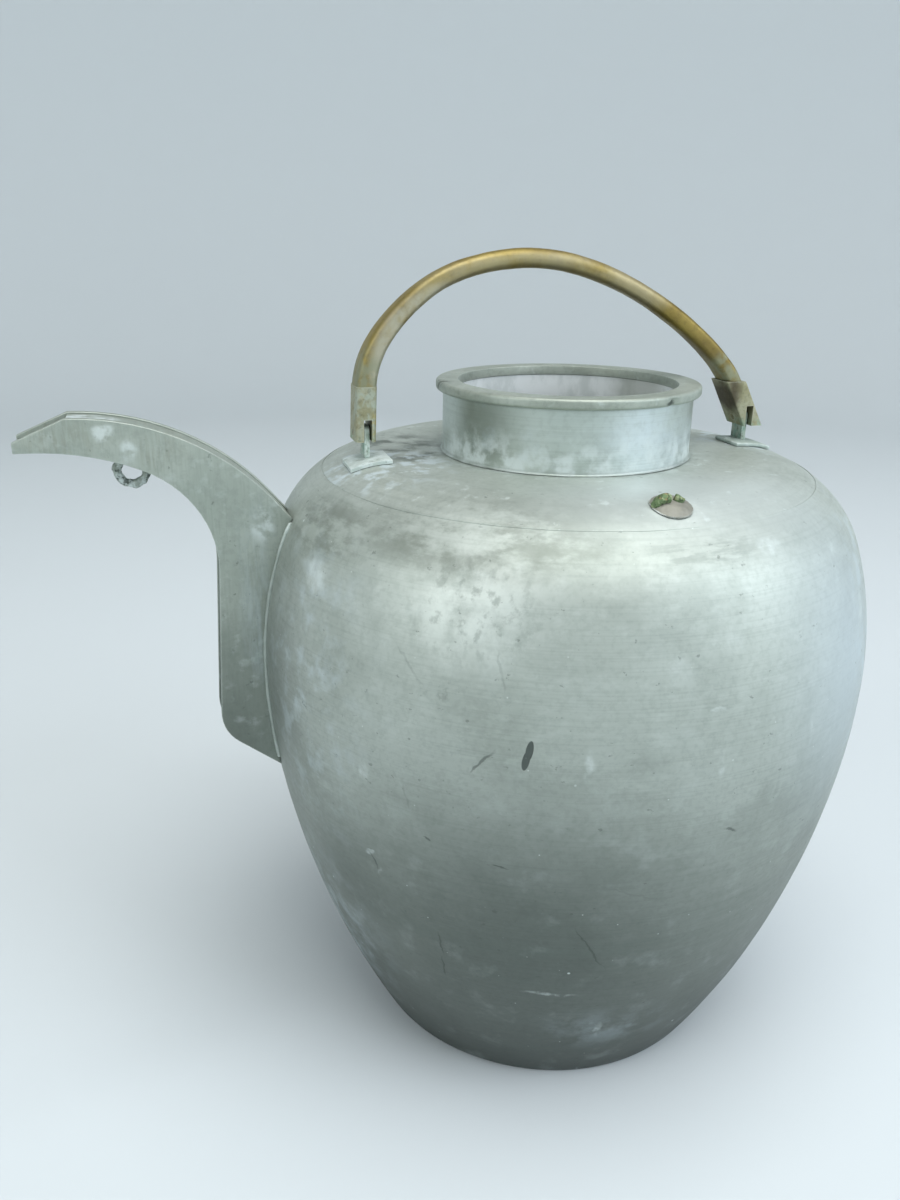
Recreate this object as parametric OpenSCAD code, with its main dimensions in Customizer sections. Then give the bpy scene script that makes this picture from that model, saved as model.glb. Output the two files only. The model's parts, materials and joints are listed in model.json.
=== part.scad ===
// Sake ewer: a jar-shaped pewter vessel with a plate-built spout and a hinged brass bail.
// Frame: millimetres, +Z up, origin on the body's axis at the foot, spout along -X.

/* [Body] */
// Radius of the belly at its widest
belly_r = 80; // [72:1:90]
// Height of the widest place above the foot
belly_z = 108.2; // [98:0.1:116]
// Radius of the foot
base_r = 50.1; // [42:0.1:60]
// Height of the flat shoulder
shoulder_z = 158.7; // [152:0.1:170]
// Radius of the curve just below the belly
lower_belly_r = 161; // [130:1:200]
// Turn of the curve just below the belly, in degrees
lower_belly_turn = 8.4; // [6:0.1:11]
// Radius of the curve just above the belly
upper_belly_r = 94.8; // [84:0.2:110]
// Turn of the curve just above the belly, in degrees
upper_belly_turn = 19.9; // [15:0.1:26]
// Thickness of the pewter wall
wall = 1.8; // [1.2:0.1:2.4]
// Thickness of the base disc
base_t = 2; // [1.2:0.1:4]
// Distance of the soldered seam, between wall and shoulder plate, inside the belly
seam_in = 17.5; // [13:0.5:20]

/* [Neck] */
// Outer radius of the neck collar
neck_r = 31.6; // [26:0.1:35]
// Thickness of the neck collar
neck_wall = 1.6; // [1:0.1:3]
// Height of the rim's top above the shoulder
neck_h = 17.7; // [11:0.1:23]
// Outer radius of the rim ring
rim_r = 33.4; // [32.4:0.1:37]
// Radius of the mouth inside the rim ring
mouth_r = 27.7; // [22:0.1:29.8]
// Thickness of the rim ring
rim_t = 2.5; // [1.2:0.1:3.2]

/* [Spout] */
// Width across the two side plates
spout_w = 10.9; // [8.8:0.1:16]
// Thickness of a side plate
plate_t = 1.6; // [1:0.1:2.1]
// Thickness of the top and underside strips
strip_t = 1.2; // [0.8:0.1:1.7]
// Depth of the strips below the plates' edges
strip_recess = 0.4; // [0.2:0.1:0.8]
// Reach of the tip beyond the belly
spout_reach = 51.6; // [45:0.2:65]
// Height of the level beak above the shoulder
beak_rise = 12.9; // [7:0.1:19]
// Radius of the spout's upper edge
spout_top_r = 58.2; // [48:0.2:67]
// Turn of the spout's upper edge down to the body, in degrees
spout_top_turn = 50; // [44:1:56]
// Length of the slanting mouth cut
lip_run = 11.3; // [6.5:0.1:16]
// Drop of the slanting mouth cut
lip_drop = 4.9; // [3:0.1:5.8]
// Height of the blunt tip
tip_h = 2.4; // [2.1:0.1:3.6]
// Radius under the beak
beak_r = 58.7; // [44:0.1:72]
// Turn of the curve under the beak, in degrees
beak_turn = 23.6; // [15:0.1:30]
// Radius of the throat, where the spout turns down
throat_r = 26; // [19:0.1:32]
// Distance of the throat from the belly
back_gap = 9.5; // [6.5:0.1:13]
// Lean of the spout's back away from the body, in degrees
back_lean = 3; // [0:0.2:6]
// Depth of the spout's foot below the belly's widest place
foot_drop = 26.4; // [17:0.1:36]
// Slope of the spout's foot, in degrees
foot_slope = 38; // [25:1:50]
// Radius of the spout's lower corner
corner_r = 10.2; // [6:0.1:14.5]
// Width of the pouring window in the body wall
window_w = 5.8; // [3.4:0.1:7.2]
// Height of the pouring window
window_h = 37.8; // [22:0.1:43]

/* [Spout loop] */
// Thickness of the loop's bar
loop_bar = 2; // [1.5:0.1:2.5]
// Radius of the loop at the middle of its bar
loop_r = 3.3; // [2.9:0.1:5]
// Distance of the loop from the tip
loop_from_tip = 24.3; // [20:0.1:29]
// Drop of the loop's centre below the underside
loop_drop = 2.2; // [1:0.1:2.8]

/* [Lugs] */
// Half of the distance between the lugs
pivot_x = 51.8; // [48:0.1:54]
// Shift of both lugs towards the spout
lug_shift = 0.7; // [0:0.1:1.5]
// Height of the hinge pins above the shoulder
pivot_h = 6.5; // [5.8:0.1:9]
// Length of a lug pad along the bail's span
pad_x = 10.2; // [7.4:0.1:13]
// Width of a lug pad across the span
pad_y = 11; // [9:0.1:15]
// Shift of the lug pads towards the front
pad_shift = 2.4; // [0:0.1:2.8]
// Thickness of a lug pad
pad_t = 0.9; // [0.6:0.1:1.3]
// Thickness of the upright tab
tab_t = 1.3; // [0.9:0.1:1.9]
// Width of the upright tab
tab_w = 5.2; // [4.4:0.1:6]
// Height of the tab above its pin
tab_top = 1.7; // [1.4:0.1:2.2]
// Rounding of the tab's upper corners
tab_round = 1.1; // [0.4:0.1:1.4]

/* [Bail] */
// Height of the bail's crown above the pins, at the middle of the bar
bail_rise = 40.2; // [35:0.1:54]
// Shift of the crown towards the spout
crown_shift = 11.3; // [0:0.1:17]
// Lean of the spout-side block, in degrees
left_lean = 2; // [0:1:12]
// Lean of the other block, in degrees
right_lean = 28; // [10:1:30]
// Straightness of the crown on the spout side
crown_run_left = 22.5; // [15:0.5:29]
// Straightness of the leg on the spout side
leg_run_left = 16; // [6:0.5:20]
// Straightness of the crown on the other side
crown_run_right = 26.2; // [18:0.2:33]
// Straightness of the leg on the other side
leg_run_right = 8.7; // [5:0.1:17]
// Thickness of the bar at the crown, in the plane of the bail
bar_t = 4.7; // [4.1:0.1:5.2]
// Thickness of the bar at its ends
end_t = 4.2; // [3.8:0.1:4.8]
// Width of the bar at the crown
crown_w = 4.7; // [3.7:0.1:6.5]
// Width of the bar at its ends
end_w = 7.4; // [4.7:0.1:8.2]
// Radius of the tenon on each end of the bar
tenon_r = 1.7; // [1.2:0.1:2]
// Length of the tenon
tenon_l = 4.4; // [2.2:0.1:5.8]

/* [Bail blocks and pins] */
// Width of an end block along the span
block_w = 5; // [4.8:0.1:7]
// Depth of an end block across the span
block_d = 8.6; // [8.4:0.1:10]
// Offset of an end block from its tab, away from the neck
block_off = 0.45; // [0.3:0.05:0.8]
// Height of an end block above its pin
block_up = 11.2; // [10.6:0.1:14.5]
// Height of an end block below its pin
block_down = 1.9; // [1.6:0.1:2.5]
// Gap beside the tab in its slot, on each side
slot_gap = 0.35; // [0.25:0.05:0.5]
// Gap over the tab at the top of its slot
slot_head = 0.3; // [0.3:0.05:0.5]
// Radius of the hinge pins
pin_r = 0.8; // [0.6:0.05:1]
// Running clearance of the pin in the tab
pin_play = 0.05; // [0.03:0.01:0.1]
// Clearance of a fixed pin or tenon in its block
fixed_play = 0.02; // [0.01:0.01:0.04]

/* [Eye remains] */
// How far inside the widest part of the body the boss lies
boss_in = 24.2; // [20:0.1:30]
// Radius of the boss
boss_r = 4.7; // [3.6:0.1:6.5]
// Height of the boss
boss_h = 1.4; // [0.9:0.1:2.2]
// Shift of the boss away from the spout
boss_side = 1.3; // [-3:0.1:3]
// Radius of the broken eye's wire
eye_wire = 1.1; // [0.8:0.05:1.1]
// Radius of the broken eye at the middle of its wire
eye_r = 2; // [1.9:0.1:2.6]
// Distance of the broken eye from the middle of the boss
eye_out = 1.6; // [1.5:0.1:2.2]
// Length of the broken eye past its top
eye_rest = 0.8; // [0.4:0.1:0.8]
// Distance of the small stub from the middle of the boss
stub_out = 0.85; // [0.7:0.05:1.4]
// Height of the small stub
stub_h = 2.2; // [1.8:0.1:3]
// Lean of the small stub, in degrees
stub_lean = 25; // [0:1:35]

/* [Hidden] */
$fn = 96;
chord_gap = 0.03;

pewter = [0.66, 0.68, 0.65];
pale_pewter = [0.72, 0.75, 0.74];
brass = [0.52, 0.45, 0.27];
dull_brass = [0.55, 0.53, 0.45];
verdigris = [0.45, 0.60, 0.52];

// Arcs of the body, each tangent to the next: flank, lower belly, upper belly, shoulder
lower_c = [belly_r - lower_belly_r, belly_z];
lower_n = [cos(lower_belly_turn), -sin(lower_belly_turn)];
lower_end = lower_c + lower_belly_r * lower_n;
to_foot = [base_r, 0] - lower_end;
flank_r = -(to_foot * to_foot) / (2 * to_foot * lower_n);
flank_c = lower_end - flank_r * lower_n;
upper_c = [belly_r - upper_belly_r, belly_z];
upper_n = [cos(upper_belly_turn), sin(upper_belly_turn)];
upper_end = upper_c + upper_belly_r * upper_n;
shoulder_r = (shoulder_z - upper_end[1]) / (1 - upper_n[1]);
shoulder_c = upper_end - shoulder_r * upper_n;
seam_r = belly_r - seam_in;

// Neck and mouth
rim_top_z = shoulder_z + neck_h;
rim_low_z = rim_top_z - rim_t;
boss_out = belly_r - boss_in;

// Spout: key points of its side outline, as [x, z]
root_depth = 2 * back_gap;
beak_z = shoulder_z + beak_rise;
tip_x = -(belly_r + spout_reach);
lip = [tip_x + lip_run, beak_z];
tip_top = [tip_x, beak_z - lip_drop];
tip_low_z = tip_top[1] - tip_h;
back_x = -(belly_r + back_gap);
inner_x = -(belly_r - root_depth);
top_c = lip - [0, spout_top_r];
throat_turn = 90 - beak_turn;
throat_n = [cos(throat_turn), sin(throat_turn)];
throat_z = tip_low_z - throat_r * throat_n[1] - beak_r * (1 - throat_n[1]);
throat_c = [back_x - throat_r, throat_z];
beak_c = throat_c + (throat_r - beak_r) * throat_n;
foot_dir = [cos(foot_slope), -sin(foot_slope)];
foot_n = [sin(foot_slope), cos(foot_slope)];
foot_at = [-belly_r, belly_z - foot_drop];
back_n = [cos(back_lean), -sin(back_lean)];
corner_c = line_crossing(
    back_n, corner_r + back_n * (throat_c + throat_r * back_n),
    foot_n, corner_r + foot_n * foot_at
);
channel_w = spout_w - 2 * plate_t;

// Lugs and bail
pivot_z = shoulder_z + pivot_h;
slot_w = tab_t + 2 * slot_gap;
slot_top = norm([tab_w / 2, tab_top]) + slot_head;
crown = [-crown_shift, pivot_z + bail_rise];
bar_steps = 18;
bar_sides = 24;
corner_power = 4;

// The point where n * p = d and m * p = e
function line_crossing(n, d, m, e) =
    [d * m[1] - e * n[1], e * n[0] - d * m[0]] / (n[0] * m[1] - n[1] * m[0]);

// Points along an arc of circle about c, from angle a0 to a1, leaving out those before first
function arc(c, r, a0, a1, first = 0) =
    let (n = ceil(abs(a1 - a0) / (2 * acos(1 - chord_gap / r))))
    [for (k = [first : n]) let (a = a0 + (a1 - a0) * k / n) c + r * [cos(a), sin(a)]];

// Upper edge of the spout at a given depth, from the lip to inside the body
function top_edge(depth) =
    let (
        r = spout_top_r - depth,
        points = arc(top_c, r, 90, 90 - spout_top_turn),
        last = points[len(points) - 1],
        run = inner_x - last[0]
    )
    concat(points, [last + run * [1, -tan(spout_top_turn)]]);

// Lower edge of the spout at a given depth, from the tip to inside the body
function low_edge(depth) =
    let (
        foot = corner_c - (corner_r - depth) * foot_n,
        run = (inner_x - foot[0]) / foot_dir[0]
    )
    concat(
        [[tip_x, tip_low_z + depth]],
        arc(beak_c, beak_r + depth, 90, throat_turn),
        arc(throat_c, throat_r + depth, throat_turn, -back_lean, 1),
        arc(corner_c, corner_r - depth, 180 - back_lean, 270 - foot_slope),
        [foot + run * foot_dir]
    );

function reversed(list) = [for (k = [len(list) - 1 : -1 : 0]) list[k]];

// A cubic curve and its direction, at t from 0 to 1
function curve(p, t) =
    pow(1 - t, 3) * p[0] + 3 * t * pow(1 - t, 2) * p[1] + 3 * t * t * (1 - t) * p[2] + pow(t, 3) * p[3];
function curve_way(p, t) =
    let (d = (1 - t) * (1 - t) * (p[1] - p[0]) + 2 * t * (1 - t) * (p[2] - p[1]) + t * t * (p[3] - p[2]))
    d / norm(d);

// Place of a lug along the span, for side -1 (spout side) or 1
function lug_x(side) = side * pivot_x - lug_shift;

// Place of an end block along the span, at the height of its pin
function block_x(side) = lug_x(side) + side * block_off;

// Upward direction of an end block, as [x, z], for side -1 (spout side) or 1
function lean(side) = side < 0 ? left_lean : right_lean;
function block_way(side) = [-side * sin(lean(side)), cos(lean(side))];
function block_top(side) = [block_x(side), pivot_z] + block_up * block_way(side);

// Control points of one half of the bail, from the crown down to its block
function half_bail(side) =
    let (
        crown_run = side < 0 ? crown_run_left : crown_run_right,
        leg_run = side < 0 ? leg_run_left : leg_run_right
    )
    [crown, crown + [side * crown_run, 0], block_top(side) + leg_run * block_way(side), block_top(side)];

// One ring of the bar: round at the crown, turning to a rounded rectangle at its ends
function signed_pow(v, p) = sign(v) * pow(abs(v), p);
function ring(at, way, half_t, half_w, power) =
    [for (k = [0 : bar_sides - 1])
        let (
            a = 360 * k / bar_sides,
            u = half_t * signed_pow(cos(a), 2 / power),
            v = half_w * signed_pow(sin(a), 2 / power)
        )
        [at[0] - u * way[1], v, at[1] + u * way[0]]];
function bar_ring(side, t) =
    let (p = half_bail(side), ease = t * t * (3 - 2 * t))
    ring(
        curve(p, t), side * curve_way(p, t), (bar_t + (end_t - bar_t) * ease) / 2,
        (crown_w + (end_w - crown_w) * ease) / 2, 2 + (corner_power - 2) * ease
    );
function tenon_ring(side) =
    ring(block_top(side) - tenon_l * block_way(side), -side * block_way(side), tenon_r, tenon_r, 2);

// A ring in the level top of an end block
function level_ring(side, half_t, half_w, power) =
    ring(block_top(side), [0, -side], half_t / cos(lean(side)), half_w, power);

// Outer outline of the vessel, from the foot up, with its face moved out by grow
function vessel_outline(grow) =
    let (foot_turn = asin(-flank_c[1] / (flank_r + grow)))
    concat(
        arc(flank_c, flank_r + grow, foot_turn, -lower_belly_turn),
        arc(lower_c, lower_belly_r + grow, -lower_belly_turn, 0, 1),
        arc(upper_c, upper_belly_r + grow, 0, upper_belly_turn, 1),
        arc(shoulder_c, shoulder_r + grow, upper_belly_turn, 90, 1)
    );

// Section of the vessel, solid to the axis
module vessel_section(grow = 0) {
    polygon(concat([[0, 0]], vessel_outline(grow), [[0, shoulder_z + grow]]));
}

module vessel_solid(grow = 0) {
    rotate_extrude()
        vessel_section(grow);
}

module vessel_shell() {
    difference() {
        vessel_solid();
        vessel_solid(-wall);
    }
}

// Everything above the belly within the seam
module seam_core() {
    translate([0, 0, belly_z])
        cylinder(h = shoulder_z, r = seam_r);
}

// A flat outline in the XZ plane, given thickness w about y
module upright(w, y = 0) {
    translate([0, y + w / 2, 0])
        rotate([90, 0, 0])
            linear_extrude(w)
                children();
}

module spout_outline() {
    polygon(concat([tip_top], top_edge(0), reversed(low_edge(0))));
}

module spout_side(side) {
    difference() {
        upright(plate_t, side * (spout_w - plate_t) / 2)
            spout_outline();
        vessel_solid();
    }
}

// A strip between the side plates, along one edge of the spout
module spout_strip(outer, inner) {
    difference() {
        upright(channel_w)
            polygon(concat(outer, reversed(inner)));
        vessel_solid();
    }
}

module pouring_window() {
    low = belly_z - foot_drop / 2 + window_w / 2;
    high = low + window_h - window_w;
    depth = inner_x - tip_x;
    for (z = [low, high])
        translate([tip_x, 0, z])
            rotate([0, 90, 0])
                cylinder(h = depth, r = window_w / 2);
    translate([tip_x, -window_w / 2, low])
        cube([depth, window_w, high - low]);
}

module body_wall() {
    color(pewter)
        difference() {
            vessel_shell();
            seam_core();
            pouring_window();
        }
}

module base_disc() {
    color(pewter)
        intersection() {
            vessel_solid(-wall);
            cylinder(h = base_t, r = belly_r);
        }
}

module shoulder_plate() {
    color(pale_pewter)
        difference() {
            intersection() {
                vessel_shell();
                seam_core();
            }
            cylinder(h = 2 * shoulder_z, r = neck_r - neck_wall);
        }
}

module neck_collar() {
    color(pale_pewter)
        difference() {
            translate([0, 0, shoulder_z])
                cylinder(h = rim_low_z - shoulder_z, r = neck_r);
            cylinder(h = 2 * rim_top_z, r = neck_r - neck_wall);
        }
}

module neck_rim() {
    color(pewter)
        translate([0, 0, rim_low_z])
            rotate_extrude() {
                translate([mouth_r, 0])
                    square([rim_r - rim_t / 2 - mouth_r, rim_t]);
                translate([rim_r - rim_t / 2, rim_t / 2])
                    circle(rim_t / 2);
            }
}

module spout_side_near() {
    color(pewter)
        spout_side(-1);
}

module spout_side_far() {
    color(pewter)
        spout_side(1);
}

module spout_top_strip() {
    color(pale_pewter)
        spout_strip(top_edge(strip_recess), top_edge(strip_recess + strip_t));
}

module spout_underside_strip() {
    color(pewter)
        spout_strip(low_edge(strip_recess), low_edge(strip_recess + strip_t));
}

// Height of the curve under the beak, at a place between the tip and the throat
function beak_low(x) = beak_c[1] + sqrt(pow(beak_r + strip_recess, 2) - pow(x - beak_c[0], 2));

module spout_loop() {
    loop_x = tip_x + loop_from_tip;
    color(pale_pewter)
        difference() {
            translate([loop_x, 0, beak_low(loop_x) - loop_drop])
                rotate([90, 0, 0])
                    rotate_extrude()
                        translate([loop_r, 0])
                            circle(loop_bar / 2);
            upright(channel_w)
                polygon(concat(top_edge(0), reversed(low_edge(strip_recess))));
        }
}

module lug_pad(side) {
    difference() {
        intersection() {
            vessel_solid(pad_t);
            translate([lug_x(side) - pad_x / 2, -pad_y / 2 - pad_shift, belly_z])
                cube([pad_x, pad_y, shoulder_z]);
        }
        vessel_solid();
    }
}

module lug_pad_left() {
    color(pale_pewter)
        lug_pad(-1);
}

module lug_pad_right() {
    color(pale_pewter)
        lug_pad(1);
}

// An upright tab with rounded upper corners and a hole for its pin
module lug_tab(side) {
    corner_y = tab_w / 2 - tab_round;
    corner_up = tab_top - tab_round;
    difference() {
        translate([lug_x(side) - tab_t / 2, 0, pivot_z])
            rotate([90, 0, 90])
                linear_extrude(tab_t)
                    difference() {
                        union() {
                            translate([-tab_w / 2, -2 * pivot_h])
                                square([tab_w, 2 * pivot_h + corner_up]);
                            translate([-corner_y, corner_up])
                                square([2 * corner_y, tab_round]);
                            for (y = [-corner_y, corner_y])
                                translate([y, corner_up])
                                    circle(tab_round);
                        }
                        circle(pin_r + pin_play);
                    }
        vessel_solid(pad_t);
    }
}

module lug_tab_left() {
    color(verdigris)
        lug_tab(-1);
}

module lug_tab_right() {
    color(verdigris)
        lug_tab(1);
}

// Places its children on the shoulder where the eye was soldered, square to the surface
module at_eye() {
    slope = asin(max(0, boss_out - shoulder_c[0]) / shoulder_r);
    translate([boss_side, -boss_out, shoulder_c[1] + shoulder_r * cos(slope)])
        rotate([slope, 0, 0])
            children();
}

module boss_ball() {
    ball_r = (boss_r * boss_r + boss_h * boss_h) / (2 * boss_h);
    translate([0, 0, boss_h - ball_r])
        sphere(ball_r, $fn = 180);
}

// A low round cap on the shoulder
module eye_boss() {
    color(pale_pewter)
        difference() {
            at_eye()
                intersection() {
                    boss_ball();
                    translate([0, 0, -boss_r])
                        cylinder(h = 2 * boss_r, r = boss_r);
                }
            vessel_solid();
        }
}

// A ring of wire that stands on the boss, broken off past its top
module broken_eye() {
    across = 2 * (eye_r + eye_wire);
    translate([-eye_out, 0, 0])
        intersection() {
            rotate([90, 0, 0])
                rotate_extrude()
                    translate([eye_r, 0])
                        circle(eye_wire);
            translate([eye_rest - across, -across / 2, -across / 2])
                cube(across);
        }
}

// What is left of a wire eye: part of its ring and the stub of its other leg
module eye_stubs() {
    color(verdigris)
        difference() {
            at_eye()
                difference() {
                    union() {
                        broken_eye();
                        translate([stub_out, 0, 0])
                            rotate([0, stub_lean, 0])
                                cylinder(h = stub_h, r = eye_wire);
                    }
                    boss_ball();
                }
            vessel_solid();
        }
}

module bail_bar() {
    function end_rings(side) = [
        level_ring(side, end_t / 2, end_w / 2, corner_power),
        level_ring(side, tenon_r, tenon_r, 2),
        tenon_ring(side)
    ];
    left_rings = [for (k = [bar_steps - 1 : -1 : 0]) bar_ring(-1, k / bar_steps)];
    right_rings = [for (k = [1 : bar_steps - 1]) bar_ring(1, k / bar_steps)];
    rings = concat(reversed(end_rings(-1)), left_rings, right_rings, end_rings(1));
    last = (len(rings) - 1) * bar_sides;
    walls = [
        for (i = [0 : len(rings) - 2])
            for (k = [0 : bar_sides - 1])
                let (
                    a = i * bar_sides + k,
                    b = i * bar_sides + (k + 1) % bar_sides,
                    c = a + bar_sides,
                    d = b + bar_sides
                )
                each [[a, c, b], [b, c, d]]
    ];
    start_cap = [for (k = [0 : bar_sides - 1]) k];
    end_cap = [for (k = [bar_sides - 1 : -1 : 0]) last + k];
    color(brass)
        polyhedron([for (r = rings) each r], concat(walls, [start_cap, end_cap]));
}

// Outline of an end block: a leaning box with level ends
module block_box(side) {
    low = pivot_z - block_down;
    high = block_top(side)[1];
    intersection() {
        translate([block_x(side), 0, pivot_z])
            rotate([0, -side * lean(side), 0])
                translate([-block_w / 2, -block_d / 2, -2 * block_up])
                    cube([block_w, block_d, 4 * block_up]);
        translate([block_x(side) - 2 * block_up, -block_d, low])
            cube([4 * block_up, 2 * block_d, high - low]);
    }
}

module pin_bar(side, r) {
    translate([lug_x(side) - block_w, 0, pivot_z])
        rotate([0, 90, 0])
            cylinder(h = 2 * block_w, r = r);
}

module bail_block(side) {
    difference() {
        block_box(side);
        translate([lug_x(side) - slot_w / 2, -block_d, pivot_z - block_up])
            cube([slot_w, 2 * block_d, block_up + slot_top]);
        pin_bar(side, pin_r + fixed_play);
        translate([block_x(side), 0, pivot_z])
            rotate([0, -side * lean(side), 0])
                translate([0, 0, block_up - tenon_l - fixed_play])
                    cylinder(h = 3 * tenon_l, r = tenon_r + fixed_play);
    }
}

module bail_block_left() {
    color(dull_brass)
        bail_block(-1);
}

module bail_block_right() {
    color(dull_brass)
        bail_block(1);
}

module hinge_pin(side) {
    intersection() {
        pin_bar(side, pin_r);
        block_box(side);
    }
}

module hinge_pin_left() {
    color(brass)
        hinge_pin(-1);
}

module hinge_pin_right() {
    color(brass)
        hinge_pin(1);
}

body_wall();
base_disc();
shoulder_plate();
neck_collar();
neck_rim();
spout_side_near();
spout_side_far();
spout_top_strip();
spout_underside_strip();
spout_loop();
lug_pad_left();
lug_pad_right();
lug_tab_left();
lug_tab_right();
eye_boss();
eye_stubs();
bail_bar();
bail_block_left();
bail_block_right();
hinge_pin_left();
hinge_pin_right();
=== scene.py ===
"""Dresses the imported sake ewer: turned pewter vessel, plate-built spout and hinged brass bail."""

from __future__ import annotations

import json
import logging
import math
from collections.abc import Callable, Iterator, Sequence
from contextlib import contextmanager
from dataclasses import dataclass
from enum import Enum
from typing import Any

import bpy
from mathutils import Matrix, Vector

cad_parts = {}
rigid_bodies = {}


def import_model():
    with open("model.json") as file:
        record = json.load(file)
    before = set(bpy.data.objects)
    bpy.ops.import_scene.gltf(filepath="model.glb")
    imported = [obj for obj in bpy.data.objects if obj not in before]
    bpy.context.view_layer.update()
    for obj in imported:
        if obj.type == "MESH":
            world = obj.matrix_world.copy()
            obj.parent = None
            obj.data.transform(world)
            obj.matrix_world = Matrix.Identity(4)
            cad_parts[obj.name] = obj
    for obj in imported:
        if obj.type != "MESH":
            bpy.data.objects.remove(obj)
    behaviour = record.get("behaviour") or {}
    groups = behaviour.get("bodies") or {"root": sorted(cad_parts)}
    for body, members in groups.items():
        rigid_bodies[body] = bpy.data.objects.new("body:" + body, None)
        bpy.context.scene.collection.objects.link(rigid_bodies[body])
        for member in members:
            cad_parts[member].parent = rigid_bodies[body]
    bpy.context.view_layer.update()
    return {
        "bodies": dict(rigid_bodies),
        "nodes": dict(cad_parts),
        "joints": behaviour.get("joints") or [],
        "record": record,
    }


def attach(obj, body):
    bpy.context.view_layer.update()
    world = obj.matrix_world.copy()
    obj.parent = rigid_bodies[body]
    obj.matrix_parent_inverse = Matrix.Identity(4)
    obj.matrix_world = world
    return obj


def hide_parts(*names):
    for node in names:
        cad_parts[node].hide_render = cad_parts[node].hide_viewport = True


LOG = logging.getLogger("ewer")
MM = 0.001
Point = tuple[float, float, float]
Ring = tuple[float, float]
Values = dict[str | int, Any]
Nodes = dict[str, bpy.types.Object]


def linear(colour: str) -> tuple[float, float, float, float]:
    """Turn an sRGB hex colour into linear light.

    Args:
        colour: Six hex digits after a hash sign.

    Returns:
        Red, green, blue and an alpha of one.
    """
    parts = [int(colour[i:i + 2], 16) / 255 for i in (1, 3, 5)]
    red, green, blue = (p / 12.92 if p <= 0.04045 else ((p + 0.055) / 1.055) ** 2.4 for p in parts)
    return red, green, blue, 1.0


def add(tree: bpy.types.NodeTree, kind: str, settings: Values | None = None,
        values: Values | None = None, links: Values | None = None) -> bpy.types.Node:
    """Add one node with its settings and links.

    Args:
        tree: The tree that takes the node.
        kind: The node's type, without the word ShaderNode.
        settings: Properties of the node.
        values: Constants on its input sockets.
        links: Output sockets that feed its input sockets.

    Returns:
        The new node.
    """
    node = tree.nodes.new("ShaderNode" + kind)
    for name, value in (settings or {}).items():
        setattr(node, name, value)
    for socket, value in (values or {}).items():
        node.inputs[socket].default_value = value
    for socket, source in (links or {}).items():
        tree.links.new(source, node.inputs[socket])
    return node


class Pattern(Enum):
    """What decides where a coat lies."""

    CLOUD = "soft patches"
    PIT = "small round pits"
    EDGE = "worn arrises"
    # Corners darkened by ambient occlusion: dirt and oxide, and also painted shade where light is blocked
    GRIME_AND_SHADE = "corners where dirt and oxide gather"
    SPOT = "its spots alone"


@dataclass(frozen=True)
class Spot:
    """An ellipsoid on the ewer that limits a coat, in millimetres and degrees."""

    at: Point
    radii: Point
    turn: Point = (0.0, 0.0, 0.0)
    soft: float = 0.6
    ragged: bool = True


@dataclass(frozen=True)
class Coat:
    """One deposit, stain or kind of wear on a metal."""

    colour: str
    grain: float | Point
    low: float
    high: float
    strength: float
    pattern: Pattern = Pattern.CLOUD
    rough: float | None = None
    metal: float | None = None
    relief: float = 0.0
    detail: float = 5.0
    seed: float = 0.0
    spots: tuple[Spot, ...] = ()


@dataclass(frozen=True)
class Metal:
    """A metal with its bare surface and the coats that age laid on it."""

    name: str
    colour: str
    rough: float
    metal: float
    coats: tuple[Coat, ...]


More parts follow.
